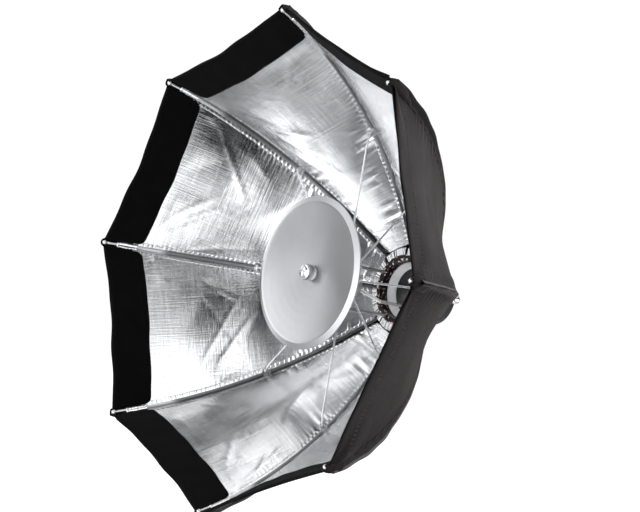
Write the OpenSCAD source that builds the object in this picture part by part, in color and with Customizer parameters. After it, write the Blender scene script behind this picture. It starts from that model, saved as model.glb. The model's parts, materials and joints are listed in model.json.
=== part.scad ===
// Folding octagonal softbox with a round clamp collar for a flash head.
// The optical axis lies along Y, the open mouth faces -Y, and Z is up.
// The origin is the centre of the collar's bore at the seat where the flash head stops.
// Every rib is drawn in its own plane, with X radial and Y along the axis, then turned about Y.

/* [Canopy] */
// Number of ribs, and so of cloth gores
ribs = 8; // [8]
// Radius of the mouth at the rib tips
mouth_r = 240; // [230:1:250]
// Depth from the rib pivots to the mouth
depth = 212; // [200:1:220]
// How far each rib bows outward from its chord
rib_bow = 28; // [24:1:36]
// Radius at which the cloth starts behind the ribs
canopy_root_r = 48; // [47:1:52]
// Width of the black grip band inside the mouth, along the rib
band_w = 40; // [30:1:45]

/* [Ribs and struts] */
// Radius of a rib rod
rib_rod_r = 1.5; // [1.2:0.1:1.7]
// Radius of a strut wire
strut_rod_r = 1.0; // [0.8:0.1:1.0]
// Radius at which a strut's bracket sits on its rib
bracket_r = 150; // [140:1:160]
// Distance from the rib's centre line to the strut's pivot
bracket_reach = 5; // [4.6:0.1:6]

/* [Mount] */
// Bore of the collar that slides over the flash head
bore_r = 25; // [24:0.5:26]
// Length of the bore
bore_len = 34; // [30:1:40]
// Radius of the circle of rib pivots
pivot_r = 40; // [40:0.5:41]
// Radius of a rib's pivot pin
rib_pin_r = 1.1; // [1:0.1:1.2]

/* [Runner] */
// Radius of the circle of strut pivots on the runner
runner_pivot_r = 20; // [19:0.5:21]
// Distance from the rib pivots forward to the strut pivots
runner_ahead = 80; // [78:1:82]
// Radius of the guide posts' circle
post_circle_r = 32.5; // [32.2:0.1:32.8]
// Radius of a guide post
post_r = 1.7; // [1.4:0.1:1.75]

/* [Deflector] */
// Outer radius of the deflector disc
disc_r = 75.6; // [70:0.2:78]
// Distance from the disc's rim to the mouth
disc_behind_mouth = 81; // [78:1:84]
// Depth of the disc's dish
dish_depth = 7; // [5:0.5:9]
// Sheet thickness of the disc
disc_t = 1.2; // [1:0.1:1.5]

/* [Hidden] */

$fn = 64;
e = 0.5;                                    // overlap used when cutting through
step = 360 / ribs;
half = step / 2;

// rib arc, in the rib's plane as [radius, y]
pivot_y = -10;
root = [pivot_r, pivot_y];
tip = [mouth_r, pivot_y - depth];
chord = norm(tip - root);
arc_r = (chord * chord / 4 + rib_bow * rib_bow) / (2 * rib_bow);
bow_dir = [root.y - tip.y, tip.x - root.x] / chord;
arc_c = (root + tip) / 2 - (arc_r - rib_bow) * bow_dir;
root_a = atan2(root.y - arc_c.y, root.x - arc_c.x);
tip_a = atan2(tip.y - arc_c.y, tip.x - arc_c.x);
function arc_dir(a) = [cos(a), sin(a)];
function rib_pt(a) = arc_c + arc_r * arc_dir(a);
function angle_at(radius) = acos((radius - arc_c.x) / arc_r);
rod_a = root_a - 2 / arc_r * 180 / PI;      // the rod starts in the wall of its eye
canopy_a = angle_at(canopy_root_r);
band_a = tip_a + band_w / arc_r * 180 / PI;

// strut bracket and its pivot
bracket_a = angle_at(bracket_r);
bracket_pt = rib_pt(bracket_a);
strut_top = bracket_pt - bracket_reach * arc_dir(bracket_a);
strut_foot = [runner_pivot_r, pivot_y - runner_ahead];

// running parts and their clearances
run_gap = 0.06;
eye_r = 3;
eye_w = 3.2;
slot_w = 3.6;
bracket_pin_r = 0.85;
strut_eye_r = 1.8;
strut_eye_w = 2.2;
hub_pin_r = 0.8;
hook_gap = 0.2;
tip_ball_r = 2.6;

// mount
ring_in = 30;
ring_out = 43.5;
ring_front = pivot_y - 7;
ring_back = pivot_y + 8;
slot_floor_r = 36.2;
collar_wall = 4.5;
flange_r = 41;
flange_t = 3;
post_first = 150;                           // angle of the first guide post
post_count = 3;
post_end = ring_front + 7;                  // how deep a post plugs into the ring
post_hub_r = 16;                            // where a post meets the runner
screw_y = 24;
screw_r = 2.4;
pad_r = 3.6;
pad_t = 1.8;
boss_top = 33;
screw_head_x = 35.5;

// runner and deflector, as y along the axis
runner_y = pivot_y - runner_ahead;
hub_t = 5;
hub_r = 22.5;
rim_y = pivot_y - depth + disc_behind_mouth;
dish_y = rim_y + dish_depth;
flange_in = 68;
stud_r = 4.5;
stud_bore_r = 2.15;
knob_r = 7.7;
knob_len = 11;
knob_screw_r = 2.0;

// cloth layers, as distances outward from the plane through two neighbouring ribs' centre lines
band_in = 1.2;
band_out = 2.2;
lining_in = 3.0;
lining_out = 3.8;
shell_in = 4.4;
shell_out = 5.4;
gore_gap = 0.3;
band_gap = 5;
arc_steps = 14;

module place(i) { rotate([0, -step * i, 0]) children(); }
module place_gore(i) { rotate([0, -step * (i + 0.5), 0]) children(); }
module turned() { rotate([-90, 0, 0]) rotate_extrude($fn = 96) children(); }
module along_y(y) { translate([0, y, 0]) rotate([-90, 0, 0]) children(); }
module across(p) { translate([p.x, p.y, 0]) children(); }

// bend in a wire, a little proud of it, with its poles turned clear of the wires
module bend(p, r) { across(p) rotate([30, 20, 50]) sphere(r = r + 0.1); }

// round wire from p to q in a rib's plane
module wire(p, q, r) {
    translate([p.x, p.y, 0]) rotate([0, 0, atan2(q.y - p.y, q.x - p.x)])
        rotate([0, 90, 0]) cylinder(r = r, h = norm(q - p));
}

// ---- mount ----

module mount_collar() {
    color("#1b1b1d") difference() {
        union() {
            turned() polygon([[bore_r, 0], [flange_r, 0], [flange_r, flange_t],
                [bore_r + collar_wall, flange_t], [bore_r + collar_wall, bore_len - 1],
                [bore_r + collar_wall - 1, bore_len], [bore_r, bore_len]]);
            translate([bore_r + collar_wall / 2, screw_y, 0]) rotate([0, 90, 0])
                cylinder(r = 7, h = boss_top - bore_r - collar_wall / 2);
        }
        translate([0, screw_y, 0]) rotate([0, 90, 0]) cylinder(r = screw_r + 0.1, h = boss_top + e);
        translate([0, screw_y, 0]) rotate([0, 90, 0])
            cylinder(r = pad_r + 0.15, h = bore_r + pad_t + 0.8);
        along_y(-e) cylinder(r = bore_r, h = bore_len + 2 * e, $fn = 96);
    }
}

module face_ring() {
    color("#dcdcdc") turned() polygon([[29.6, -0.2], [24.4, -0.2], [24.4, -1.4],
        [28.7, -8], [29.6, -8]]);
}

module notch_ring() {
    color("#1b1b1d") difference() {
        turned() polygon([[ring_in, ring_front + 1], [ring_in + 1, ring_front],
            [ring_out - 1, ring_front], [ring_out, ring_front + 1], [ring_out, ring_back],
            [ring_in, ring_back]]);
        for (i = [0:ribs - 1]) place(i) {
            translate([slot_floor_r, ring_front - e, -slot_w / 2])
                cube([ring_out, pivot_y - ring_front + 4 + e, slot_w]);
            across([pivot_r, pivot_y]) translate([0, 0, -7]) cylinder(r = rib_pin_r + 0.02, h = 14);
        }
        for (i = [0:post_count - 1]) rotate([0, -post_first - 90 * i, 0])
            translate([post_circle_r, ring_front - e, 0]) rotate([-90, 0, 0])
                cylinder(r = post_r + 0.05, h = post_end - ring_front + 0.3 + e);
    }
}

module rib_pins() {
    color("silver") for (i = [0:ribs - 1]) place(i)
        across([pivot_r, pivot_y]) translate([0, 0, -5.5]) cylinder(r = rib_pin_r, h = 11);
}

module crown_cap() {
    cap_t = 1.2;
    y0 = ring_back + 0.4;
    color("#2b2a2c") difference() {
        turned() polygon([[ring_in + 1.5, y0], [44.5, y0], [67, y0 - 12], [67.6, y0 - 11],
            [45, y0 + cap_t], [ring_in + 1.5, y0 + cap_t]]);
        for (i = [0:ribs - 1]) place(i) across([pivot_r, pivot_y])
            translate([0, 0, -6]) cylinder(r = rib_pin_r + 0.4, h = 12);
    }
}

module clamp_pad() {
    color("#2a2a2a") translate([bore_r + 0.4, screw_y, 0]) rotate([0, 90, 0])
        cylinder(r = pad_r, h = pad_t);
}

module clamp_screw() {
    color("silver") translate([0, screw_y, 0]) rotate([0, 90, 0]) {
        translate([0, 0, bore_r + 0.4 + pad_t + 0.1])
            cylinder(r = screw_r, h = screw_head_x - bore_r - 0.4 - pad_t);
        translate([0, 0, screw_head_x]) cylinder(r = 5.5, h = 5);
        translate([0, 0, screw_head_x + 5]) cylinder(r1 = 5.5, r2 = 4, h = 1.2);
    }
}

// ---- runner with its guide posts ----

module runner_hub() {
    color("#8f9194") difference() {
        union() {
            along_y(runner_y - hub_t / 2) cylinder(r = hub_r, h = hub_t);
            along_y(dish_y + disc_t + 0.2)
                cylinder(r = stud_r, h = runner_y - dish_y - disc_t - 0.2);
        }
        for (i = [0:ribs - 1]) place(i) {
            translate([8.2, runner_y - hub_t / 2 - e, -1.5]) cube([hub_r, hub_t + 2 * e, 3]);
            across(strut_foot) translate([0, 0, -6]) cylinder(r = hub_pin_r + 0.02, h = 12);
        }
        for (i = [0:post_count - 1]) rotate([0, -post_first - 90 * i, 0])
            translate([post_hub_r, runner_y - 1, 0]) rotate([-90, 0, 0])
                cylinder(r = post_r + 0.02, h = hub_t);
        along_y(dish_y) cylinder(r = stud_bore_r, h = 20);
    }
}

module hub_pins() {
    color("silver") for (i = [0:ribs - 1]) place(i)
        across(strut_foot) translate([0, 0, -5]) cylinder(r = hub_pin_r, h = 10);
}

module cage_posts() {
    straight = [post_circle_r, runner_y + 24];
    neck = [post_hub_r, runner_y + 8];
    color("#55575a") for (i = [0:post_count - 1]) rotate([0, -post_first - 90 * i, 0]) {
        wire([post_circle_r, post_end], straight, post_r);
        bend(straight, post_r);
        wire(straight, neck, post_r);
        bend(neck, post_r);
        wire(neck, [post_hub_r, runner_y - 0.9], post_r);
    }
}

// ---- deflector ----

// height of the dish's front face above its centre, at radius r
dish_ball = (flange_in * flange_in + dish_depth * dish_depth) / (2 * dish_depth);
function dish(r) = dish_y - (dish_ball - sqrt(dish_ball * dish_ball - r * r));

module deflector_disc() {
    front = [for (r = [0:8.5:flange_in]) [r, dish(r)]];
    rim = [[70, rim_y - 0.6], [disc_r, rim_y + 1.8]];
    outline = concat(front, rim);
    back = [for (i = [len(outline) - 1:-1:0]) outline[i] + [0, disc_t]];
    color("#b9babb") difference() {
        turned() polygon(concat(outline, back));
        along_y(dish_y - 2) cylinder(r = knob_screw_r + 0.2, h = 6);
    }
}

module deflector_knob() {
    color("#c8c9ca") {
        along_y(dish_y - 0.1 - knob_len) cylinder(r = knob_r, h = knob_len);
        along_y(dish_y - 0.1 - knob_len - 2) cylinder(r1 = 4.6, r2 = 6, h = 2);
        along_y(dish_y - 0.2) cylinder(r = knob_screw_r, h = 15);
    }
}

// ---- ribs and struts ----

module rib(i) {
    color("#3a3a3c") place(i) difference() {
        union() {
            across(arc_c) rotate([0, 0, tip_a]) rotate_extrude(angle = rod_a - tip_a, $fn = 96)
                translate([arc_r, 0]) circle(r = rib_rod_r, $fn = 32);
            across(root) translate([0, 0, -eye_w / 2]) cylinder(r = eye_r, h = eye_w);
            across(tip) sphere(r = tip_ball_r);
        }
        across(root) translate([0, 0, -eye_w]) cylinder(r = rib_pin_r + run_gap, h = 2 * eye_w);
    }
}

module bracket(i) {
    ear = 1;
    body_w = strut_eye_w + 0.5 + 2 * ear;
    color("#8a8c8f") place(i) across(bracket_pt) rotate([0, 0, bracket_a]) {
        difference() {
            union() {
                rotate([90, 0, 0]) cylinder(r = 2.5, h = 8, center = true);
                translate([-bracket_reach, -2.2, -body_w / 2]) cube([bracket_reach - 1, 4.4, body_w]);
                translate([-bracket_reach, 0, -body_w / 2]) cylinder(r = 2.2, h = body_w);
            }
            rotate([90, 0, 0]) cylinder(r = rib_rod_r + 0.06, h = 10, center = true);
            translate([-bracket_reach - 4, -4, -strut_eye_w / 2 - 0.25])
                cube([bracket_reach + 1.4, 8, strut_eye_w + 0.5]);
        }
        translate([-bracket_reach, 0, -body_w / 2 - 0.6]) cylinder(r = bracket_pin_r, h = body_w + 1.2);
    }
}

// The foot is an open hook in front of the runner's pin: the linkage is opened at this pivot.
module strut(i) {
    hook_in = hub_pin_r + hook_gap;
    bar_y = strut_foot.y - hook_in - strut_rod_r + 0.05;
    elbow = [strut_top.x - 11, bar_y];
    color("#b5b7ba") place(i) difference() {
        union() {
            wire([strut_foot.x - 0.7, bar_y], elbow, strut_rod_r);
            bend(elbow, strut_rod_r);
            wire(elbow, strut_top, strut_rod_r);
            across(strut_top) translate([0, 0, -strut_eye_w / 2])
                cylinder(r = strut_eye_r, h = strut_eye_w);
            intersection() {
                across(strut_foot) translate([0, 0, -strut_eye_w / 2])
                    cylinder(r = hook_in + 2 * strut_rod_r - 0.05, h = strut_eye_w);
                translate([strut_foot.x - 5, strut_foot.y - 5, -2]) cube([5, 5.4, 4]);
            }
        }
        across(strut_top) translate([0, 0, -2]) cylinder(r = bracket_pin_r + run_gap, h = 4);
        across(strut_foot) translate([0, 0, -2]) cylinder(r = hook_in, h = 4);
    }
}

// ---- cloth ----

// a strip of cloth between two neighbouring ribs: thick from inner to outer, from angle a0 to a1
// of the rib's arc, and cut back by gap from each rib's plane
module cloth(i, inner, outer, a0, a1, gap) {
    function edge(a, off) = let (p = rib_pt(a), n = arc_dir(a), m = [n.x, n.y * cos(half)],
        q = [p.x * cos(half), p.y]) q + off * m / norm(m);
    angles = [for (k = [0:arc_steps]) a0 + (a1 - a0) * k / arc_steps];
    outline = concat([for (a = angles) edge(a, inner)],
        [for (k = [arc_steps:-1:0]) edge(angles[k], outer)]);
    reach = mouth_r + 20;
    place_gore(i) intersection() {
        linear_extrude(height = 2 * reach, center = true) polygon(outline);
        translate([gap / sin(half), 0, 0]) rotate([90, 0, 0])
            linear_extrude(height = 2 * reach, center = true)
                polygon([[0, 0], [reach, -reach * tan(half)], [reach, reach * tan(half)]]);
    }
}

module shell(i) { color("#3b393b") cloth(i, shell_in, shell_out, canopy_a, tip_a, gore_gap); }
module lining(i) { color("#d9dadc") cloth(i, lining_in, lining_out, canopy_a, tip_a, gore_gap); }
module band(i) { color("#0c0c0d") cloth(i, band_in, band_out, band_a, tip_a, band_gap); }

mount_collar();
face_ring();
notch_ring();
rib_pins();
crown_cap();
clamp_pad();
clamp_screw();
runner_hub();
hub_pins();
cage_posts();
deflector_disc();
deflector_knob();
for (i = [0:ribs - 1]) {
    rib(i);
    bracket(i);
    strut(i);
    shell(i);
    lining(i);
    band(i);
}
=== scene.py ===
"""Looks for the folding octagonal studio softbox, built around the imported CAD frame. Metres."""

import json
import math

import bmesh
import bpy
import numpy as np
from mathutils import Matrix, Vector


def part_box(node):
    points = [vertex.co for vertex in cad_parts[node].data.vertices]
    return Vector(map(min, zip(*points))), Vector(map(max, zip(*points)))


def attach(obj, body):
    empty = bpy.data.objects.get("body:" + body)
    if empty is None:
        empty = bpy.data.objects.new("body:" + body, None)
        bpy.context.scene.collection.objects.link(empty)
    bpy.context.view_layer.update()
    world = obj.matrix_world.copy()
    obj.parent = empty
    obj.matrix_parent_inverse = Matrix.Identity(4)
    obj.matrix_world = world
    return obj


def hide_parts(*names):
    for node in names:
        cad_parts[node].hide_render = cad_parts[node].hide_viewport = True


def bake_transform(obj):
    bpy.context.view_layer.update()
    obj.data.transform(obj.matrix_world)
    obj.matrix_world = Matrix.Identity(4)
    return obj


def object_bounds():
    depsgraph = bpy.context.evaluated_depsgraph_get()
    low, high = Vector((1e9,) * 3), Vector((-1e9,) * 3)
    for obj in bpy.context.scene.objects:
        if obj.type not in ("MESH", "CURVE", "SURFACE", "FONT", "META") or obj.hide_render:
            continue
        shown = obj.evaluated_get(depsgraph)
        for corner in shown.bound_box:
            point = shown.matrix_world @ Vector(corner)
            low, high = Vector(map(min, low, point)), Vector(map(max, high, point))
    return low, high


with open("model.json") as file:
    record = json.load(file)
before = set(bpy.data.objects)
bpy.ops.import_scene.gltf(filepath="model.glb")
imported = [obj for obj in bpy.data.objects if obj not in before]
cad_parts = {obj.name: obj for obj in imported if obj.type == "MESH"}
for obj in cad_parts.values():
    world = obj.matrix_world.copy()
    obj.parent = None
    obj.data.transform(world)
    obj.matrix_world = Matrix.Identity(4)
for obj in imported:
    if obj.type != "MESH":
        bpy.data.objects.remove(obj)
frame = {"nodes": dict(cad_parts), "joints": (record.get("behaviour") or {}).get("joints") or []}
cad_box = [list(c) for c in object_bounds()]

# ---------------------------------------------------------------- canopy shape, from the frame
joints = {j["name"]: j for j in frame["joints"]}
RIBS = 8
HALF = math.pi / RIBS
PIVOT_R, PIVOT_Y = joints["rib_1_pivot"]["pos_m"][0], joints["rib_1_pivot"]["pos_m"][1]
TIP_BALL = 0.0026       # radius of the ball on a rib's tip
rib_lo, rib_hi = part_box("rib_1")
TIP_R, TIP_Y = rib_hi[0] - TIP_BALL, rib_lo[1] + TIP_BALL
BOW = 0.028             # how far a rib's arc rises above its chord
ROOT_R = 0.048          # radius where the cloth starts
BAND_W = 0.040          # black grip band, measured along the rib
SEAM_GAP = 0.0016       # cloth edge to the rib's plane, under the seam strips
BAND_GAP = 0.0038       # band edge to the rib's plane
LINING_HEM = 0.030      # the lining stops this far short of the mouth, under the band
LINING_OFF, LINING_THICK = 0.0021, 0.0004     # lining's inner face outward of the rib's arc
SHELL_OFF, SHELL_THICK = 0.0031, 0.0006       # shell's inner face outward of the rib's arc

chord = math.hypot(TIP_R - PIVOT_R, TIP_Y - PIVOT_Y)
ARC_R = (chord ** 2 / 4 + BOW ** 2) / (2 * BOW)
bow_dir = np.array([PIVOT_Y - TIP_Y, TIP_R - PIVOT_R]) / chord
ARC_C = np.array([PIVOT_R + TIP_R, PIVOT_Y + TIP_Y]) / 2 - (ARC_R - BOW) * bow_dir
TIP_A = math.atan2(TIP_Y - ARC_C[1], TIP_R - ARC_C[0])
ROOT_A = math.acos((ROOT_R - ARC_C[0]) / ARC_R)
LENGTH = ARC_R * (ROOT_A - TIP_A)   # cloth length along a rib


def arc(v):
    """Point (radius, y) and outward direction on the rib's arc, v metres from the cloth's root."""
    a = ROOT_A - np.asarray(v, float) / ARC_R
    n = np.stack([np.cos(a), np.sin(a)])
    return ARC_C[:, None] + ARC_R * n if n.ndim > 1 else ARC_C + ARC_R * n, n


def axes_at(angle):
    """Radial and tangential unit vectors at an angle round the axis."""
    return (np.array([math.cos(angle), 0, math.sin(angle)]),
            np.array([-math.sin(angle), 0, math.cos(angle)]))


def gore_angle(k):
    return math.pi / 4 * (k - 1) + HALF


def gore_plane(v, off):
    """Radius and y in a gore's middle plane, off metres outward of the ribs' arc."""
    p, n = arc(v)
    m = np.stack([n[0], n[1] * math.cos(HALF)])
    m /= np.linalg.norm(m, axis=0)
    return np.stack([p[0] * math.cos(HALF), p[1]]) + off * m


def gore_points(k, v, t, off, gap=0.0):
    """Points on gore k, with their place across it and the gore's half width there.

    v is metres along the rib, t runs from -1 to 1 across, off is metres outward, and gap is
    kept from each rib's plane.
    """
    shape = np.broadcast(v, t, off).shape
    v, t, off = (np.broadcast_to(x, shape).astype(float).ravel() for x in (v, t, off))
    q = gore_plane(v, off)
    side = q[0] * math.tan(HALF) - gap / math.cos(HALF)
    radial, tangent = axes_at(gore_angle(k))
    u = t * side
    pts = q[0][:, None] * radial + q[1][:, None] * np.array([0, 1, 0]) + u[:, None] * tangent
    return pts.reshape(shape + (3,)), u.reshape(shape), side.reshape(shape)


# ---------------------------------------------------------------- mesh helpers
def mesh_object(name, verts, faces, uv=None, smooth=True):
    """Object from vertices and faces; uv is one pair per vertex, in metres."""
    me = bpy.data.meshes.new(name)
    me.from_pydata([tuple(map(float, p)) for p in verts], [], faces)
    if uv is not None:
        layer = me.uv_layers.new(name="UVMap")
        loops = np.empty(len(me.loops), dtype=np.int32)
        me.loops.foreach_get("vertex_index", loops)
        layer.data.foreach_set("uv", np.asarray(uv, np.float32)[loops].ravel())
    me.update()
    me.validate()
    me.polygons.foreach_set("use_smooth", [smooth] * len(me.polygons))
    o = bpy.data.objects.new(name, me)
    bpy.context.collection.objects.link(o)
    return o


def slab(name, inner, outer, uv):
    """Closed sheet from two point grids of the same shape (rows, columns, 3)."""
    rows, cols = inner.shape[:2]
    count = rows * cols
    verts = np.concatenate([inner.reshape(-1, 3), outer.reshape(-1, 3)])
    faces = []
    for r in range(rows - 1):
        for c in range(cols - 1):
            a = r * cols + c
            faces.append((a, a + 1, a + cols + 1, a + cols))
            faces.append((count + a, count + a + cols, count + a + cols + 1, count + a + 1))
    rim = [r * cols for r in range(rows)] + [(rows - 1) * cols + c for c in range(1, cols)]
    rim += [r * cols + cols - 1 for r in range(rows - 2, -1, -1)]
    rim += list(range(cols - 2, 0, -1))
    for a, b in zip(rim, rim[1:] + rim[:1]):
        faces.append((a, b, count + b, count + a))
    uv2 = np.concatenate([uv.reshape(-1, 2)] * 2)
    o = mesh_object(name, verts, faces, uv2)
    fix_normals(o)
    return o


def fix_normals(o):
    """Turns every face of a closed mesh outward."""
    bm = bmesh.new()
    bm.from_mesh(o.data)
    bmesh.ops.recalc_face_normals(bm, faces=bm.faces)
    bm.to_mesh(o.data)
    bm.free()


def revolve(name, profile, segments=96, radius_mod=None):
    """Closed turned shape about the Y axis.

    The (radius, y) points start and end on the axis, or close a loop away from it.
    """
    closed = profile[0][0] > 1e-6
    verts, rings = [], []
    for i, (r, y) in enumerate(profile):
        if r < 1e-6:
            rings.append([len(verts)] * segments)
            verts.append((0, y, 0))
            continue
        ring = []
        for s in range(segments):
            a = 2 * math.pi * s / segments
            rr = r + (radius_mod(i, a) if radius_mod else 0)
            ring.append(len(verts))
            verts.append((rr * math.cos(a), y, rr * math.sin(a)))
        rings.append(ring)
    faces = []
    pairs = list(zip(rings, rings[1:])) + ([(rings[-1], rings[0])] if closed else [])
    for low, high in pairs:
        for s in range(segments):
            n = (s + 1) % segments
            f = [low[s], low[n], high[n], high[s]]
            f = [x for j, x in enumerate(f) if x != f[j - 1]]
            if len(f) > 2:
                faces.append(f)
    o = mesh_object(name, verts, faces)
    fix_normals(o)
    return o


def tube(points, radius, sides=6):
    """Vertices and faces of a closed round wire through the points."""
    points = np.asarray(points, float)
    verts, faces = [], []
    for i, p in enumerate(points):
        d = points[min(i + 1, len(points) - 1)] - points[max(i - 1, 0)]
        d /= np.linalg.norm(d)
        u = np.cross(d, [0.3, 0.5, 0.81])
        u /= np.linalg.norm(u)
        w = np.cross(d, u)
        r = radius * (0.55 if i in (0, len(points) - 1) else 1)
        for s in range(sides):
            a = 2 * math.pi * s / sides
            verts.append(p + r * (math.cos(a) * u + math.sin(a) * w))
    for i in range(len(points) - 1):
        for s in range(sides):
            n = (s + 1) % sides
            faces.append((i * sides + s, i * sides + n, (i + 1) * sides + n, (i + 1) * sides + s))
    faces.append(tuple(range(sides))[::-1])
    faces.append(tuple((len(points) - 1) * sides + s for s in range(sides)))
    return verts, faces


def join_parts(name, parts):
    """One object from several (vertices, faces) pairs."""
    verts, faces = [], []
    for v, f in parts:
        faces += [tuple(i + len(verts) for i in face) for face in f]
        verts += list(v)
    return mesh_object(name, verts, faces)


# ---------------------------------------------------------------- material helpers
class Tree:
    """Short calls for a node material."""

    def __init__(self, name):
        self.m = bpy.data.materials.new(name)
        self.m.use_nodes = True
        self.t = self.m.node_tree
        self.bsdf = self.t.nodes["Principled BSDF"]

    def put(self, socket, value):
        if hasattr(value, "links"):
            self.t.links.new(value, socket)
        else:
            socket.default_value = value

    def set(self, **kw):
        for key, value in kw.items():
            self.put(self.bsdf.inputs[key.replace("_", " ")], value)

    def coord(self, kind="Object"):
        return self.t.nodes.new("ShaderNodeTexCoord").outputs[kind]

    def scale(self, vector, xyz, offset=(0, 0, 0)):
        n = self.t.nodes.new("ShaderNodeMapping")
        n.inputs["Scale"].default_value = xyz
        n.inputs["Location"].default_value = offset
        self.put(n.inputs["Vector"], vector)
        return n.outputs[0]

    def noise(self, vector, scale, detail=3.0, rough=0.5, dist=0.0):
        n = self.t.nodes.new("ShaderNodeTexNoise")
        self.put(n.inputs["Vector"], vector)
        values = {"Scale": scale, "Detail": detail, "Roughness": rough, "Distortion": dist}
        for key, value in values.items():
            n.inputs[key].default_value = value
        return n.outputs["Fac"]

    def wave(self, vector, scale, direction):
        n = self.t.nodes.new("ShaderNodeTexWave")
        n.bands_direction = direction
        self.put(n.inputs["Vector"], vector)
        n.inputs["Scale"].default_value = scale
        return n.outputs["Fac"]

    def math(self, op, a, b=0.0, c=0.0):
        n = self.t.nodes.new("ShaderNodeMath")
        n.operation = op
        for socket, value in zip(n.inputs, (a, b, c)):
            self.put(socket, value)
        return n.outputs[0]

    def ramp(self, value, low, high, to_low=0.0, to_high=1.0):
        n = self.t.nodes.new("ShaderNodeMapRange")
        n.interpolation_type = "SMOOTHSTEP"
        for socket, x in zip(list(n.inputs)[:5], (value, low, high, to_low, to_high)):
            self.put(socket, x)
        return n.outputs[0]

    def mix(self, fac, a, b):
        n = self.t.nodes.new("ShaderNodeMix")
        n.data_type = "RGBA"
        self.put(n.inputs[0], fac)
        self.put(n.inputs[6], a if hasattr(a, "links") else (*a, 1))
        self.put(n.inputs[7], b if hasattr(b, "links") else (*b, 1))
        return n.outputs[2]

    def split(self, vector):
        n = self.t.nodes.new("ShaderNodeSeparateXYZ")
        self.put(n.inputs[0], vector)
        return n.outputs

    def axis_radius(self, xyz):
        """Distance from the optical axis, from a split object position."""
        x2, z2 = self.math("MULTIPLY", xyz[0], xyz[0]), self.math("MULTIPLY", xyz[2], xyz[2])
        return self.math("SQRT", self.math("ADD", x2, z2))

    def base_colour(self):
        """The socket that drives the base colour so far."""
        return self.bsdf.inputs["Base Color"].links[0].from_socket

    def bump(self, height, strength, distance):
        n = self.t.nodes.new("ShaderNodeBump")
        n.inputs["Strength"].default_value = strength
        n.inputs["Distance"].default_value = distance
        self.put(n.inputs["Height"], height)
        self.put(self.bsdf.inputs["Normal"], n.outputs[0])


def weave(t, uv, pitch):
    """Plain weave height from the cloth's own u and v, with threads pitch metres apart."""
    one_a_unit = 0.16       # wave scale that gives about one band for each unit of its vector
    warp = t.wave(t.scale(uv, (1 / pitch, 0, 0)), one_a_unit, "X")
    weft = t.wave(t.scale(uv, (0, 1 / pitch, 0)), one_a_unit, "Y")
    return t.math("MAXIMUM", warp, weft)


def silver_cloth():
    """Metallised lining: bright woven film with warp and weft streaks."""
    t = Tree("lining_silver")
    uv = t.coord("UV")
    warp = t.noise(t.scale(uv, (760, 14, 1)), 1.0, 3, 0.6)
    weft = t.noise(t.scale(uv, (14, 760, 1)), 1.0, 3, 0.6)
    streak = t.math("ADD", t.ramp(warp, 0.25, 0.75), t.ramp(weft, 0.25, 0.75))
    cloud = t.noise(t.scale(uv, (22, 22, 1)), 1.0, 3, 0.55, 0.4)
    shade = t.math("ADD", t.math("MULTIPLY", streak, 0.32), t.math("MULTIPLY", cloud, 0.40))
    rough = t.math("ADD", t.math("MULTIPLY", streak, 0.03), t.ramp(cloud, 0.3, 0.7, 0.13, 0.20))
    t.set(Base_Color=t.mix(shade, (0.50, 0.505, 0.51), (0.99, 0.992, 0.995)), Metallic=0.97,
          Roughness=rough)
    threads = t.math("MULTIPLY", weave(t, uv, 0.0007), 0.3)
    height = t.math("ADD", threads, t.math("MULTIPLY", streak, 0.42))
    t.bump(height, 0.32, 0.00035)
    return t.m


def nylon(name, dark, light, pitch=0.0006, rough=0.62, crest=0.0):
    """Charcoal woven nylon with a soft sheen; crest is how pale the painted highlight line near u = 0
    is, where light catches the seam's crest.
    """
    t = Tree(name)
    uv = t.coord("UV")
    cloud = t.noise(t.coord("Object"), 14, 4, 0.6)
    thread = t.noise(t.scale(uv, (900, 60, 1)), 1.0, 2, 0.5)
    fac = t.math("ADD", t.math("MULTIPLY", cloud, 0.6), t.math("MULTIPLY", thread, 0.4))
    tone = t.mix(fac, dark, light)
    if crest:
        # painted highlight: a pale line just beside the seam's crest, on the side where light catches it
        beside = t.math("ABSOLUTE", t.math("SUBTRACT", t.split(uv)[0], 0.0012))
        crest_painted_highlight = t.math("MULTIPLY", t.ramp(beside, 0.0004, 0.0012, 1, 0), fac)
        tone = t.mix(crest_painted_highlight, tone, (crest, crest, crest))
    t.set(Base_Color=tone, Roughness=t.ramp(cloud, 0.3, 0.7, rough - 0.06, rough + 0.08),
          Sheen_Weight=0.15, Sheen_Roughness=0.26, Sheen_Tint=(0.80, 0.70, 0.69, 1),
          Specular_IOR_Level=0.10)
    t.bump(t.math("ADD", weave(t, uv, pitch), t.math("MULTIPLY", thread, 0.5)), 0.6, 0.00025)
    return t.m


def loop_tape():
    """Black napped loop tape: very dark, with a fine fuzzy pile."""
    t = Tree("band_loop_tape")
    p = t.coord("Object")
    pile = t.noise(p, 1500, 2, 0.7)
    patch = t.noise(p, 60, 3, 0.6)
    fuzz = t.math("MULTIPLY", pile, patch)
    t.set(Base_Color=t.mix(fuzz, (0.0006, 0.0005, 0.0006), (0.0060, 0.0052, 0.0056)),
          Roughness=0.95, Sheen_Weight=0.025, Sheen_Roughness=0.6, Specular_IOR_Level=0.05)
    t.bump(pile, 0.7, 0.0004)
    return t.m


def metal(name, low, high, rough=(0.25, 0.4), grain=(300, 300, 300), metallic=1.0, bump=0.15):
    """Metal, rubber or paint with a stretched grain, cloudy roughness and slight tone changes."""
    t = Tree(name)
    p = t.coord("Object")
    fine = t.noise(t.scale(p, grain), 1.0, 3, 0.6)
    cloud = t.noise(p, 60, 3, 0.55)
    tone = t.math("ADD", t.math("MULTIPLY", fine, 0.5), t.math("MULTIPLY", cloud, 0.5))
    t.set(Base_Color=t.mix(tone, low, high), Metallic=metallic,
          Roughness=t.ramp(tone, 0.3, 0.7, *rough))
    t.bump(fine, bump, 0.0001)
    return t


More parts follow.
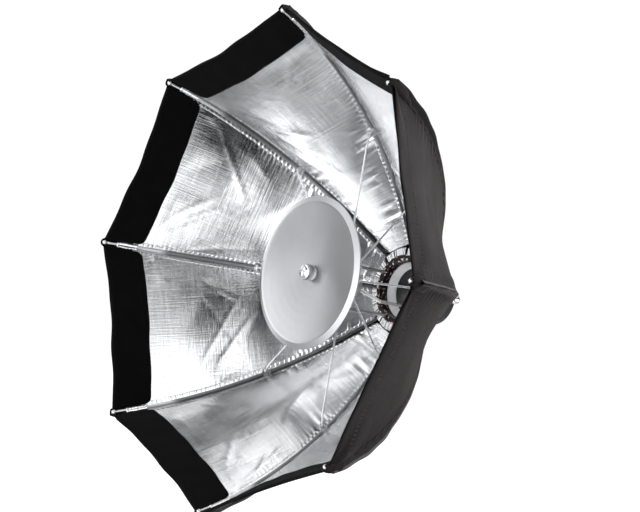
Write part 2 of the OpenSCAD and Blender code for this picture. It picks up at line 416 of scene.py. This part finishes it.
SILVER = silver_cloth()
SHELL = nylon("shell_nylon", (0.0050, 0.0038, 0.0037), (0.0125, 0.0097, 0.0095))
TRIM = nylon("trim_nylon", (0.0050, 0.0043, 0.0045), (0.0140, 0.0120, 0.0125), 0.0009,
             crest=0.16)
TAPE = loop_tape()
THREAD = nylon("stitch_thread", (0.05, 0.048, 0.05), (0.11, 0.105, 0.11), 0.0004, 0.55)


# ---------------------------------------------------------------- folds in the cloth
def waves(u, v, count, long, short, amp, seed):
    """Soft uneven billow: a few random waves, with wavelengths between short and long."""
    g = np.random.default_rng(seed)
    out = np.zeros(np.broadcast(u, v).shape)
    for _ in range(count):
        a, length, phase = g.uniform(0, math.pi), g.uniform(short, long), g.uniform(0, 6.28)
        along = u * math.cos(a) + v * math.sin(a)
        out = out + np.sin(2 * math.pi / length * along + phase)
    return out * amp / math.sqrt(count)


def creases(u, v, seed, count, amp):
    """Fine tension creases that start near the mouth's corners and run diagonally inward."""
    g = np.random.default_rng(seed)
    out = np.zeros(np.broadcast(u, v).shape)
    for _ in range(count):
        side = g.choice([-1, 1])
        u0, v0 = side * g.uniform(0.45, 0.95) * 0.085, LENGTH - g.uniform(0.035, 0.11)
        a = math.pi / 2 + side * g.uniform(0.25, 1.0)
        du, dv = -side * abs(math.cos(a)), -abs(math.sin(a))
        along = (u - u0) * du + (v - v0) * dv
        across = (u - u0) * dv - (v - v0) * du + g.uniform(-1.6, 1.6) * along ** 2
        size, w = g.uniform(0.05, 0.13), g.uniform(0.0012, 0.0030)
        window = np.clip(along / 0.012, 0, 1) * np.clip((size - along) / 0.03, 0, 1)
        out = out + g.uniform(0.5, 1) * amp * window * np.exp(-(across / w) ** 2)
    return out


def corner_fans(u, side, v, amp, reach, number, phase):
    """Creases that fan out from the two corners at the rib tips."""
    out = 0
    for s in (-1, 1):
        du, dv = side - s * u, LENGTH - v
        rho = np.hypot(du, dv)
        ang = np.arctan2(du, dv + 1e-6)
        fade = np.exp(-rho / reach) * np.clip(rho / 0.006, 0, 1)
        out = out + amp * fade * np.sin(number * ang + phase + s)
    return out


def seam_pucker(d, v, amp, wide, pitch, phase, v0, v1):
    """Small puckers next to a seam, between v0 and v1 along it."""
    window = np.clip((v - v0) / 0.01, 0, 1) * np.clip((v1 - v) / 0.03, 0, 1)
    wob = 0.35 * np.sin(v * 210 + phase) + 0.6 * np.sin(v * 67 + 2 * phase)
    return amp * window * np.exp(-(d / wide) ** 1.4) * np.sin(2 * math.pi * v / pitch + phase + wob)


def cloth_grid(v0, v1, rows, cols):
    """Grid of v and t, denser next to the two seams."""
    x = np.linspace(-1, 1, cols)
    t = np.sin(x * math.pi / 2) * 0.55 + x * 0.45
    return np.meshgrid(np.linspace(v0, v1, rows), t, indexing="ij")


def smooth(x, low, high):
    """0 below low, 1 above high, and an easy curve between."""
    f = np.clip((x - low) / (high - low), 0, 1)
    return f * f * (3 - 2 * f)


def sag(v, t):
    """How far the stretched cloth lies inside the flat between two ribs."""
    s = np.clip(v / LENGTH, 0, 1)
    return (1 - t ** 2) * smooth(s, 0, 0.35) * (0.0022 + 0.0054 * np.sin(math.pi * s))


def hem(v, t, k, u):
    """How far the cloth's front edge is pulled back between two ribs, with small ripples."""
    ripple = 0.0008 * np.sin(u / 0.017 + 1.3 * k) + 0.0006 * np.sin(u / 0.0083 + k)
    return (0.0034 - ripple) * (1 - t ** 2) * smooth(v, LENGTH - 0.09, LENGTH - 0.01)


def lining_off(k, v, t, u, side):
    """Offset of the lining's inner face, with its folds; side is the gore's half width at v."""
    d = side - np.abs(u)
    edge = np.clip(d / 0.008, 0, 1)
    move = waves(u, v, 7, 0.13, 0.050, 0.0008, 100 + k) * edge * np.clip(v / 0.02, 0, 1)
    move += creases(u, v, 200 + k, 11, 0.0005) * edge
    move += corner_fans(u, side, v, 0.0007, 0.026, 9, k) * edge
    move += seam_pucker(d, v, 0.0004, 0.0065, 0.0052, k, 0.06, LENGTH - 0.05)
    strength = 0.0020 if k in (1, 2) else 0.0010      # the photo's right side is gathered most
    gather = seam_pucker(d, v, strength, 0.016, 0.0115, 2.1 * k, 0.004, 0.14)
    gather *= np.clip(d / 0.004, 0, 1)
    move += gather * (0.45 + 0.55 * np.sin(v * 151 + 3.1 * k + np.sign(u)))
    move *= 1 - smooth(v, LENGTH - BAND_W - 0.014, LENGTH - BAND_W - 0.002)
    return LINING_OFF - sag(v, t) - np.clip(move, -0.0002, 0.0040)


def shell_off(k, v, t, u, side):
    """Offset of the shell's inner face, with its folds; side is the gore's half width at v."""
    d = side - np.abs(u)
    edge = np.clip(d / 0.012, 0, 1)
    move = waves(u, v, 6, 0.16, 0.06, 0.0008, 300 + k) * edge
    move += corner_fans(u, side, v, 0.0042, 0.030, 3.4, 1.7 * k) * np.clip(d / 0.006, 0, 1)
    move += seam_pucker(d, v, 0.0007, 0.010, 0.0105, 1.3 * k, 0.0, LENGTH - 0.02)
    groove = 0.00028 * np.exp(-((LENGTH - 0.021 - v) / 0.0014) ** 2)     # under the hem stitches
    return SHELL_OFF - sag(v, t) + np.clip(move, -0.0003, 0.0035) - groove


def swing(piece):
    """Bakes the piece's placement into its mesh."""
    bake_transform(piece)


def uv_of(u, v):
    return np.stack([u, v], axis=-1)


def dress(piece, material, node=None):
    """Gives the piece its material, and hides the CAD node that it stands for, if there is one."""
    piece.data.materials.append(material)
    if node:
        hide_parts(node)


# ---------------------------------------------------------------- the eight gores
def lining(k):
    """Silver lining."""
    v, t = cloth_grid(0.0, LENGTH - LINING_HEM, 190, 47)
    _, u, side = gore_points(k, v, t, 0.0034, SEAM_GAP)
    off = lining_off(k, v, t, u, side)
    inner, u, _ = gore_points(k, v, t, off, SEAM_GAP)
    outer, _, _ = gore_points(k, v, t, off + LINING_THICK, SEAM_GAP)
    piece = slab(f"lining_cloth_{k}", inner, outer, uv_of(u, v))
    dress(piece, SILVER, f"lining_{k}")
    swing(piece)


def shell(k):
    """Outer shell, whose front edge rolls in to the band."""
    roll_length, roll_depth = 0.006, 0.0009
    v, t = cloth_grid(0.0, LENGTH + 0.0002, 150, 47)
    _, u, side = gore_points(k, v, t, 0.004, SEAM_GAP)
    front = np.clip((v - LENGTH + roll_length) / roll_length, 0, 1)
    off = shell_off(k, v, t, u, side) - roll_depth * front ** 3
    v = v - hem(v, t, k, u)
    inner, u, _ = gore_points(k, v, t, off, SEAM_GAP)
    outer, _, _ = gore_points(k, v, t, off + SHELL_THICK, SEAM_GAP)
    piece = slab(f"shell_cloth_{k}", inner, outer, uv_of(u, v))
    dress(piece, SHELL, f"shell_{k}")
    swing(piece)


def band(k):
    """Black loop band with rounded inner corners and a thickened front roll."""
    corner_r, overhang = 0.006, 0.0009
    f, t = cloth_grid(0.0, 1.0, 26, 61)
    middle = np.full_like(f, LENGTH - BAND_W / 2)
    _, u, side = gore_points(k, middle, t, 0.0017, BAND_GAP)
    corner = np.clip(1 - (side - np.abs(u)) / corner_r, 0, 1)
    start = LENGTH - BAND_W + corner_r * (1 - np.sqrt(1 - corner ** 2 * 0.98))
    v = start + (LENGTH + overhang - start) * f
    near, far = v - start, LENGTH + overhang - v
    soft = waves(u, v, 6, 0.06, 0.02, 0.00022, 400 + k)
    edge = np.sqrt(np.clip(near / 0.0018, 0, 1) * np.clip(far / 0.0022, 0, 1))
    base = 0.0018 * np.clip(1 - far / 0.004, 0, 1) ** 2 - sag(v, t)
    off = base + 0.0008 + soft + 0.0006 * (1 - edge)
    v = v - hem(v, t, k, u)
    inner, u, _ = gore_points(k, v, t, off, BAND_GAP)
    outer, _, _ = gore_points(k, v, t, base + 0.0019, BAND_GAP)
    piece = slab(f"band_cloth_{k}", inner, outer, uv_of(u, v))
    dress(piece, TAPE, f"band_{k}")
    swing(piece)


def hem_stitches(k):
    """Two rows of stitches on the shell, along the front hem."""
    rows, pitch, reach, thread_r = (0.0205, 0.0228), 0.0040, 0.083, 0.00032
    along = np.array([0, 0.0009, 0.0019, 0.0028])           # one stitch, end to end
    rise = np.array([-0.0002, 0.00025, 0.00025, -0.0002])   # its ends dip into the cloth
    parts = []
    for row in rows:
        for x in np.arange(-reach, reach, pitch):
            u, v = x + along, np.full(4, LENGTH - row)
            _, _, side = gore_points(k, v, np.zeros(4), 0.005)
            if np.any(np.abs(u) > side - 0.006):
                continue
            t = u / side
            off = shell_off(k, v, t, u, side) + SHELL_THICK + rise
            pts, _, _ = gore_points(k, v - hem(v, t, k, u), t, off)
            parts.append(tube(pts, thread_r, 5))
    piece = join_parts(f"hem_stitch_{k}", parts)
    dress(piece, THREAD)
    swing(piece)


for k in range(1, RIBS + 1):
    lining(k)
    shell(k)
    band(k)
    hem_stitches(k)


# ---------------------------------------------------------------- trim along each rib
def seam_strip(k, v, lateral, off):
    """Points beside rib k: lateral is metres to the side of the rib, on the gore on that side."""
    pts = np.empty(np.broadcast(v, lateral, off).shape + (3,))
    v, lateral, off = (np.broadcast_to(x, pts.shape[:-1]).astype(float) for x in (v, lateral, off))
    for sign, gore in ((1, k), (-1, (k - 2) % RIBS + 1)):
        use = lateral >= 0 if sign > 0 else lateral < 0
        q = gore_plane(v[use], off[use])
        radial, tangent = axes_at(gore_angle(gore))
        edge = -sign * (q[0] * math.tan(HALF) - np.abs(lateral[use]) / math.cos(HALF))
        pts[use] = (q[0][:, None] * radial + q[1][:, None] * np.array([0, 1, 0])
                    + edge[:, None] * tangent)
    return pts


def sag_beside(v, lateral):
    """The cloth's sag at a point beside a rib."""
    p, _ = arc(v.ravel())
    side = (p[0] * math.sin(HALF)).reshape(v.shape)
    return sag(v, 1 - np.abs(lateral) / side)


def strip(name, k, v0, v1, rows, wide, off_fn, material):
    """Strip of cloth that lies over the seam at rib k, from v0 to v1 and wide to each side."""
    thick = 0.0005
    lat = np.concatenate([np.linspace(-wide, -1e-9, 11), np.linspace(1e-9, wide, 11)[1:]])
    v, la = np.meshgrid(np.linspace(v0, v1, rows), lat, indexing="ij")
    off = off_fn(k, v, la) - sag_beside(v, la)
    inner, outer = seam_strip(k, v, la, off), seam_strip(k, v, la, off + thick)
    piece = slab(name, inner, outer, uv_of(la, v))
    dress(piece, material)
    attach(piece, f"rib_{k}")


def tape_off(k, v, la):
    """Inner tape: nearly flat, with puckers at its edges."""
    pucker = 0.0004 * np.sin(v / 0.0008 + k) * (np.abs(la) / 0.006) ** 2
    return 0.0018 + pucker + 0.00010 * np.sin(v / 0.0031)


def welt_off(k, v, la):
    """Outer binding with a raised welt over the rib, highest at rib 1 as in the photo."""
    tall = 0.0056 if k == 1 else 0.0030
    height = 0.0012 + tall * smooth(v, LENGTH - 0.140, LENGTH - 0.070)
    welt = height * np.exp(-np.abs(la / 0.0030) ** 2.6) * (1 + 0.10 * np.sin(v / 0.0061 + k))
    ripple = 0.0003 * np.sin(v / 0.0026 + k) * (np.abs(la) / 0.006)
    return SHELL_OFF + SHELL_THICK + ripple + welt


def beside_rib(v, lift, lat, radial, tangent):
    """Point lift metres outward of the rib's arc at v, and lat metres to its side."""
    p, n = arc(v)
    return (p[0] + n[0] * lift) * radial + np.array([0, p[1] + n[1] * lift, 0]) + lat * tangent


def tip_sleeve(k):
    """Ribbed silver sleeve that holds the rib's end to the hem."""
    radial, tangent = axes_at(math.pi / 4 * (k - 1))
    rows, sides, half_w, half_h = 26, 16, 0.0034, 0.0021
    vs = np.linspace(LENGTH - 0.035, LENGTH - 0.013, rows)
    verts = []
    for i, w in enumerate(vs):
        ridge = 0.00022 * math.sin(w / 0.00052) + 0.0003 * (i in (0, 1, rows - 2, rows - 1))
        for a in np.linspace(0, 2 * math.pi, sides + 1)[:-1]:
            lat = half_w * math.cos(a) * (1 + 0.05 * math.sin(w / 0.002))
            lift = (half_h + ridge * 0.5) * math.sin(a) + 0.0004
            verts.append(beside_rib(w, lift, lat, radial, tangent))
    faces = [(i * sides + j, i * sides + (j + 1) % sides,
              (i + 1) * sides + (j + 1) % sides, (i + 1) * sides + j)
             for i in range(rows - 1) for j in range(sides)]
    faces += [tuple(range(sides))[::-1], tuple((rows - 1) * sides + j for j in range(sides))]
    uv = [(j / sides * 0.014, w) for w in vs for j in range(sides)]
    piece = mesh_object(f"tip_sleeve_{k}", verts, faces, uv)
    fix_normals(piece)
    dress(piece, SILVER)
    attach(piece, f"rib_{k}")


def tip_pocket(k):
    """Rounded nylon pocket over the rib's end, on the outside."""
    radial, tangent = axes_at(math.pi / 4 * (k - 1))
    rows, cols, start, long, thick = 25, 21, LENGTH - 0.036, 0.0395, 0.0009
    verts, depth = [], np.zeros((rows, cols, 3))
    for i in range(rows):
        f = i / (rows - 1)
        w = start + long * f
        _, n = arc(w)
        depth[i] = -(n[0] * radial + np.array([0, n[1], 0])) * thick
        half_w = 0.0078 * math.sqrt(max(0.0, 1 - f ** 4 * 0.86)) * (0.72 + 0.28 * min(1, f * 3))
        for j in range(cols):
            g = -1 + 2 * j / (cols - 1)
            lat = half_w * g
            crown = math.sin(math.pi * min(1, f * 0.62 + 0.10)) * (1 - abs(g) ** 2.4)
            lift = 0.0040 - 0.0030 * f ** 5 + 0.0050 * crown - abs(lat) * 0.40
            lift += 0.0007 * math.exp(-((abs(g) - 0.82) / 0.10) ** 2)       # sewn edge
            lift += 0.0003 * math.sin(f * 21 + g * 4 + k)
            verts.append(beside_rib(w, lift, lat, radial, tangent))
    grid = np.array(verts).reshape(rows, cols, 3)
    gu, gv = np.meshgrid(np.linspace(0, 0.040, rows), np.linspace(-0.009, 0.009, cols), indexing="ij")
    piece = slab(f"tip_pocket_{k}", grid + depth, grid, uv_of(gv, gu))
    dress(piece, SHELL)
    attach(piece, f"rib_{k}")


for k in range(1, RIBS + 1):
    strip(f"lining_tape_{k}", k, 0.004, LENGTH - LINING_HEM, 230, 0.0060, tape_off,
          SILVER)
    strip(f"outer_seam_{k}", k, 0.007, LENGTH - 0.004, 130, 0.0066, welt_off,
          TRIM)
    tip_sleeve(k)
    tip_pocket(k)


# ---------------------------------------------------------------- crown cloth round the hub
CROWN = [(0.0318, -0.0016), (0.0450, -0.0016), (0.0500, -0.0056), (0.0580, -0.0118), (0.0668, -0.0172),
         (0.0680, -0.0172), (0.0680, -0.0158), (0.0588, -0.0104), (0.0506, -0.0041), (0.0455, -0.0001),
         (0.0330, -0.0001), (0.0318, -0.0006)]
CROWN_LOOSE = (0, 0, .3, .7, 1, 1, 1, .7, .3, 0, 0, 0)     # how freely each ring of it pleats


def crown_shape(i, a):
    """Flattens the crown's ring i to the octagon below it, and pleats it."""
    flat = CROWN[i][0] * (math.cos(HALF) / math.cos(a % (2 * HALF) - HALF) - 1)
    return CROWN_LOOSE[i] * (flat + 0.0005 * math.sin(24 * a) + 0.0003 * math.sin(41 * a + 1))


crown = revolve("crown_cloth", CROWN, 288, crown_shape)
layer = crown.data.uv_layers.new(name="UVMap")
for loop in crown.data.loops:
    co = crown.data.vertices[loop.vertex_index].co
    layer.data[loop.index].uv = (math.atan2(co.z, co.x) * 0.05, math.hypot(co.x, co.z))
dress(crown, SHELL, "crown_cap")
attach(crown, "mount")

# ---------------------------------------------------------------- deflector knob and clamp screw
k_lo, k_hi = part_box("deflector_knob")
front, back = k_lo[1], k_lo[1] + 0.013
knob_profile = [(0.0, front), (0.0016, front + 0.00012), (0.0036, front + 0.0006),
                (0.0050, front + 0.0014), (0.0056, front + 0.0021), (0.0062, front + 0.0022),
                (0.0072, front + 0.0026), (0.0077, front + 0.0034), (0.0077, back - 0.0010),
                (0.0072, back - 0.0002), (0.0021, back), (0.0020, k_hi[1] - 0.0004),
                (0.0016, k_hi[1]), (0.0, k_hi[1])]


def knurl(i, a):
    """Straight knurl on the rings of the profile that form the knob's rim."""
    return 0.00012 * math.cos(44 * a) if i in (6, 7, 8, 9) else 0.0


knob = revolve("knob_body", knob_profile, 176, knurl)
CROSS_HALF, CROSS_REACH, CROSS_DEPTH = 0.0006, 0.0042, 0.0009
for vtx in knob.data.vertices:     # screwdriver cross in the domed head
    x, y, z = vtx.co
    arm = min(abs(x), abs(z))
    if y < front + 0.0016 and math.hypot(x, z) < CROSS_REACH and arm < CROSS_HALF:
        vtx.co.y = y + CROSS_DEPTH * (1 - (arm / CROSS_HALF) ** 4)
knob_metal = metal("knob_metal", (0.55, 0.55, 0.56), (0.84, 0.84, 0.85), (0.16, 0.34), (60, 900, 60))
dress(knob, knob_metal.m, "deflector_knob")
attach(knob, "deflector_knob")

s_lo, s_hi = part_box("clamp_screw")
screw_y, screw_long = (s_lo[1] + s_hi[1]) / 2, s_hi[0] - s_lo[0]
from_tip = [(0.0, 0.0), (0.0022, 0.0), (0.0024, 0.0003)]
from_head = [(0.0024, 0.0060), (0.0046, 0.0062), (0.0055, 0.0056), (0.0055, 0.0014), (0.0050, 0.0008),
             (0.0042, 0.0002), (0.0028, 0.0), (0.0024, 0.0005), (0.0, 0.0006)]
screw = revolve("clamp_thumbscrew", from_tip + [(r, screw_long - back_) for r, back_ in from_head], 144,
                lambda i, a: 0.00016 * math.cos(24 * a) if i in (5, 6) else 0.0)
screw.data.transform(Matrix.Translation((s_lo[0], screw_y, 0)) @ Matrix.Rotation(-math.pi / 2, 4, "Z"))
screw_chrome = metal("thumbscrew_chrome", (0.72, 0.72, 0.73), (0.93, 0.93, 0.94), (0.06, 0.16),
                     (200, 200, 200))
dress(screw, screw_chrome.m, "clamp_screw")
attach(screw, "clamp_screw")


# ---------------------------------------------------------------- materials of the CAD nodes shown
def paint(tree, *nodes):
    """Gives the tree's material to CAD nodes that are shown as they are."""
    for name in nodes:
        o = frame["nodes"][name]
        if not o.material_slots:
            o.data.materials.append(tree.m)
        for material_slot in o.material_slots:
            material_slot.material = tree.m


def many(stem):
    """The names of the eight nodes with this stem."""
    return [f"{stem}_{k}" for k in range(1, RIBS + 1)]


# ribs: black by the hub, which is painted shade standing in for the dark reflections there, dark grey
# further out, and bright past the hem where the tips stand free of the cloth
rib = metal("rib_spring_steel", (0.030, 0.030, 0.032), (0.095, 0.095, 0.098), (0.28, 0.46),
            (400, 400, 400))
radius = rib.axis_radius(rib.split(rib.coord("Object")))
# painted shade: the ribs darken towards the hub by radius
hub_painted_shade = rib.mix(rib.ramp(radius, 0.075, 0.13), rib.base_colour(), (0.24, 0.24, 0.245))
rib.set(Base_Color=rib.mix(rib.ramp(radius, 0.208, 0.214), hub_painted_shade, (0.78, 0.78, 0.79)))
paint(rib, *many("rib"))
paint(metal("bracket_plated", (0.34, 0.34, 0.35), (0.66, 0.66, 0.67), (0.22, 0.38)), *many("bracket"))
paint(metal("strut_wire_steel", (0.42, 0.42, 0.43), (0.66, 0.66, 0.67), (0.24, 0.34), (120, 120, 120),
            0.85, 0.05), *many("strut"))
paint(metal("post_dark_steel", (0.34, 0.34, 0.345), (0.58, 0.58, 0.585), (0.2, 0.36), (500, 20, 500)),
      "cage_posts")
paint(metal("runner_grey", (0.42, 0.42, 0.43), (0.62, 0.62, 0.63), (0.24, 0.4), (300, 40, 300)),
      "runner_hub")
paint(metal("pin_plated", (0.6, 0.6, 0.61), (0.85, 0.85, 0.86), (0.12, 0.25)), "hub_pins")
paint(metal("rivet_copper", (0.42, 0.16, 0.10), (0.72, 0.36, 0.24), (0.2, 0.34)), "rib_pins")
paint(metal("face_ring_silver", (0.95, 0.95, 0.955), (1.0, 1.0, 1.0), (0.42, 0.58), (700, 700, 700),
            0.05, 0.4), "face_ring")
paint(metal("collar_black_anodised", (0.012, 0.012, 0.013), (0.035, 0.035, 0.037), (0.34, 0.5),
            (700, 700, 700), 0.35, 0.35), "mount_collar")
paint(metal("pad_rubber_black", (0.012, 0.012, 0.012), (0.03, 0.03, 0.03), (0.7, 0.9), (900, 900, 900),
            0.0, 0.5), "clamp_pad")

# notched ring: speckled dark binding on the inner wall, gathered silver on the front whose pleats are
# painted as dark and bright bands, painted shade in the folds and painted highlight on them
ring = metal("notch_ring_bound", (0.50, 0.50, 0.505), (0.86, 0.86, 0.865), (0.18, 0.30), (420, 420, 420),
             0.95, 0.5)
xyz = ring.split(ring.coord("Object"))
radius = ring.axis_radius(xyz)
specks = ring.ramp(ring.noise(ring.coord("Object"), 300, 2, 0.6), 0.57, 0.63)
wall = ring.mix(specks, (0.018, 0.014, 0.014), (0.62, 0.50, 0.46))
pleats = ring.noise(ring.math("MULTIPLY", ring.math("ARCTAN2", xyz[2], xyz[0]), 16), 1.0, 3, 0.65)
# painted shade and painted highlight of the pleats, put into the colour
face = ring.mix(ring.ramp(pleats, 0.38, 0.60), (0.10, 0.10, 0.105), (0.80, 0.80, 0.805))
ring.set(Base_Color=ring.mix(ring.ramp(radius, 0.0355, 0.0365), wall, face))
paint(ring, "notch_ring")

# satin frosted disc: fine matte grain, with its highlight drawn out round the axis
disc = Tree("disc_satin_aluminium")
p = disc.coord("Object")
frost = disc.noise(p, 1300, 2, 0.6)
cloud = disc.noise(p, 16, 3, 0.6)
tone = disc.math("ADD", disc.math("MULTIPLY", frost, 0.4), disc.math("MULTIPLY", cloud, 0.6))
round_about = disc.t.nodes.new("ShaderNodeTangent")
round_about.direction_type, round_about.axis = "RADIAL", "Y"
disc.set(Base_Color=disc.mix(tone, (0.33, 0.33, 0.337), (0.54, 0.54, 0.55)), Metallic=0.9,
         Roughness=disc.ramp(tone, 0.3, 0.7, 0.34, 0.42),
         Anisotropic=0.55, Tangent=round_about.outputs[0])
disc.bump(frost, 0.55, 0.00014)
paint(disc, "deflector_disc")

# ---------------------------------------------------------------- floor, light and camera
scene = bpy.context.scene
FLOOR_GAP = 0.012       # floor below the lowest rib tip
bpy.ops.mesh.primitive_plane_add(size=14, location=(0, 0, cad_box[0][2] - FLOOR_GAP))
floor = bpy.context.object
floor.name = "floor"
pale = Tree("floor_pale")
pale.set(Base_Color=(0.5, 0.5, 0.5, 1), Roughness=0.9, Specular_IOR_Level=0.0,
         Emission_Color=(1, 1, 1, 1), Emission_Strength=0.86)
pale.bump(pale.noise(pale.coord("Object"), 3, 2, 0.5), 0.05, 0.001)
floor.data.materials.append(pale.m)
floor.visible_glossy = floor.visible_diffuse = False

world = bpy.data.worlds.new("studio")
world.use_nodes = True
scene.world = world
wt = world.node_tree
wt.nodes.clear()
around = wt.nodes.new("ShaderNodeTexCoord").outputs["Generated"]


def dot(direction):
    """How far a ray of the background points along a direction, from -1 to 1."""
    n = wt.nodes.new("ShaderNodeVectorMath")
    n.operation = "DOT_PRODUCT"
    wt.links.new(around, n.inputs[0])
    n.inputs[1].default_value = Vector(direction).normalized()
    return n.outputs["Value"]


def level(value, low, high, a, b):
    """a where value is below low, b where it is above high, and an easy change between."""
    n = wt.nodes.new("ShaderNodeMapRange")
    n.interpolation_type = "SMOOTHSTEP"
    for socket, x in zip(list(n.inputs)[:5], (value, low, high, a, b)):
        if hasattr(x, "links"):
            wt.links.new(x, socket)
        else:
            socket.default_value = x
    return n.outputs[0]


# the room that the lining mirrors, as light levels. On the lining's side: a white table low down,
# a dark gap, a bright wall and a dark ceiling, with nothing behind the canopy
height = dot((0, 0, 1))
bands = level(height, -0.60, -0.47, 2.2, 0.0)
bands = level(height, 0.04, 0.24, bands, 2.6)
bands = level(height, 0.42, 0.52, bands, 1.3)
bands = level(height, 0.60, 0.74, bands, 0.22)
bands = level(dot((0.656, 0.755, 0)), -0.06, 0.08, 0.02, bands)
# behind the camera: a dim room with a lighter part, and the table
room = level(dot((-0.42, -0.87, 0.22)), 0.80, 0.97, 0.40, 2.1)
room = level(height, -0.2, -0.6, room, 0.85)
# one soft panel in front of the mouth, a little below it
panel = level(dot((0.14, -0.96, -0.24)), 0.78, 0.92, 0.0, 3.8)
total = wt.nodes.new("ShaderNodeMath")
wt.links.new(level(dot((0.58, -0.81, 0)), 0.15, 0.45, room, bands), total.inputs[0])
wt.links.new(panel, total.inputs[1])

mirrored = wt.nodes.new("ShaderNodeBackground")
mirrored.inputs["Color"].default_value = (0.97, 0.985, 1, 1)
wt.links.new(total.outputs[0], mirrored.inputs["Strength"])
seen = wt.nodes.new("ShaderNodeBackground")     # the camera itself sees plain white
seen.inputs["Color"].default_value = (1, 1, 1, 1)
seen.inputs["Strength"].default_value = 1.05
path = wt.nodes.new("ShaderNodeLightPath")
choose = wt.nodes.new("ShaderNodeMixShader")
wt.links.new(path.outputs["Is Camera Ray"], choose.inputs[0])
wt.links.new(mirrored.outputs[0], choose.inputs[1])
wt.links.new(seen.outputs[0], choose.inputs[2])
out = wt.nodes.new("ShaderNodeOutputWorld")
wt.links.new(choose.outputs[0], out.inputs[0])


def area(name, location, target, size, power):
    """Rectangular area light that faces the target."""
    data = bpy.data.lights.new(name, "AREA")
    data.shape = "RECTANGLE"
    data.size, data.size_y = size
    data.energy = power
    o = bpy.data.objects.new(name, data)
    o.location = location
    o.rotation_euler = (Vector(target) - Vector(location)).to_track_quat("-Z", "Y").to_euler()
    bpy.context.collection.objects.link(o)


area("key_left", (-1.1, -1.9, 0.9), (0, -0.1, 0), (1.2, 1.2), 12)
area("fill_top", (0.3, -0.2, 2.1), (0, -0.1, 0), (2.0, 1.4), 16)
area("fill_right", (1.9, 0.9, 0.9), (0.1, -0.1, 0), (0.6, 1.2), 38)
area("back_soft", (0.2, 2.2, 1.0), (0, 0, 0), (2.4, 1.6), 16)

# camera fitted so that the eight rib tips fall where the photo shows them; it carries the photo's
# tilt and roll, because the model stands level
EYE = Vector((1.3595, -1.2389, -0.0508))
RIGHT = Vector((0.62917, 0.75990, 0.16339))
UP = Vector((-0.07365, -0.15098, 0.98579))
FORWARD = Vector((-0.77377, 0.63227, 0.03902))
cam_data = bpy.data.cameras.new("camera")
cam_data.lens, cam_data.sensor_width = 101.15, 36
cam_data.clip_start, cam_data.clip_end = 0.05, 30
cam = bpy.data.objects.new("camera", cam_data)
turn = Matrix((RIGHT, UP, -FORWARD)).transposed().to_4x4()
cam.matrix_world = Matrix.Translation(EYE) @ turn
bpy.context.collection.objects.link(cam)
scene.camera = cam
scene.view_settings.view_transform = "Standard"
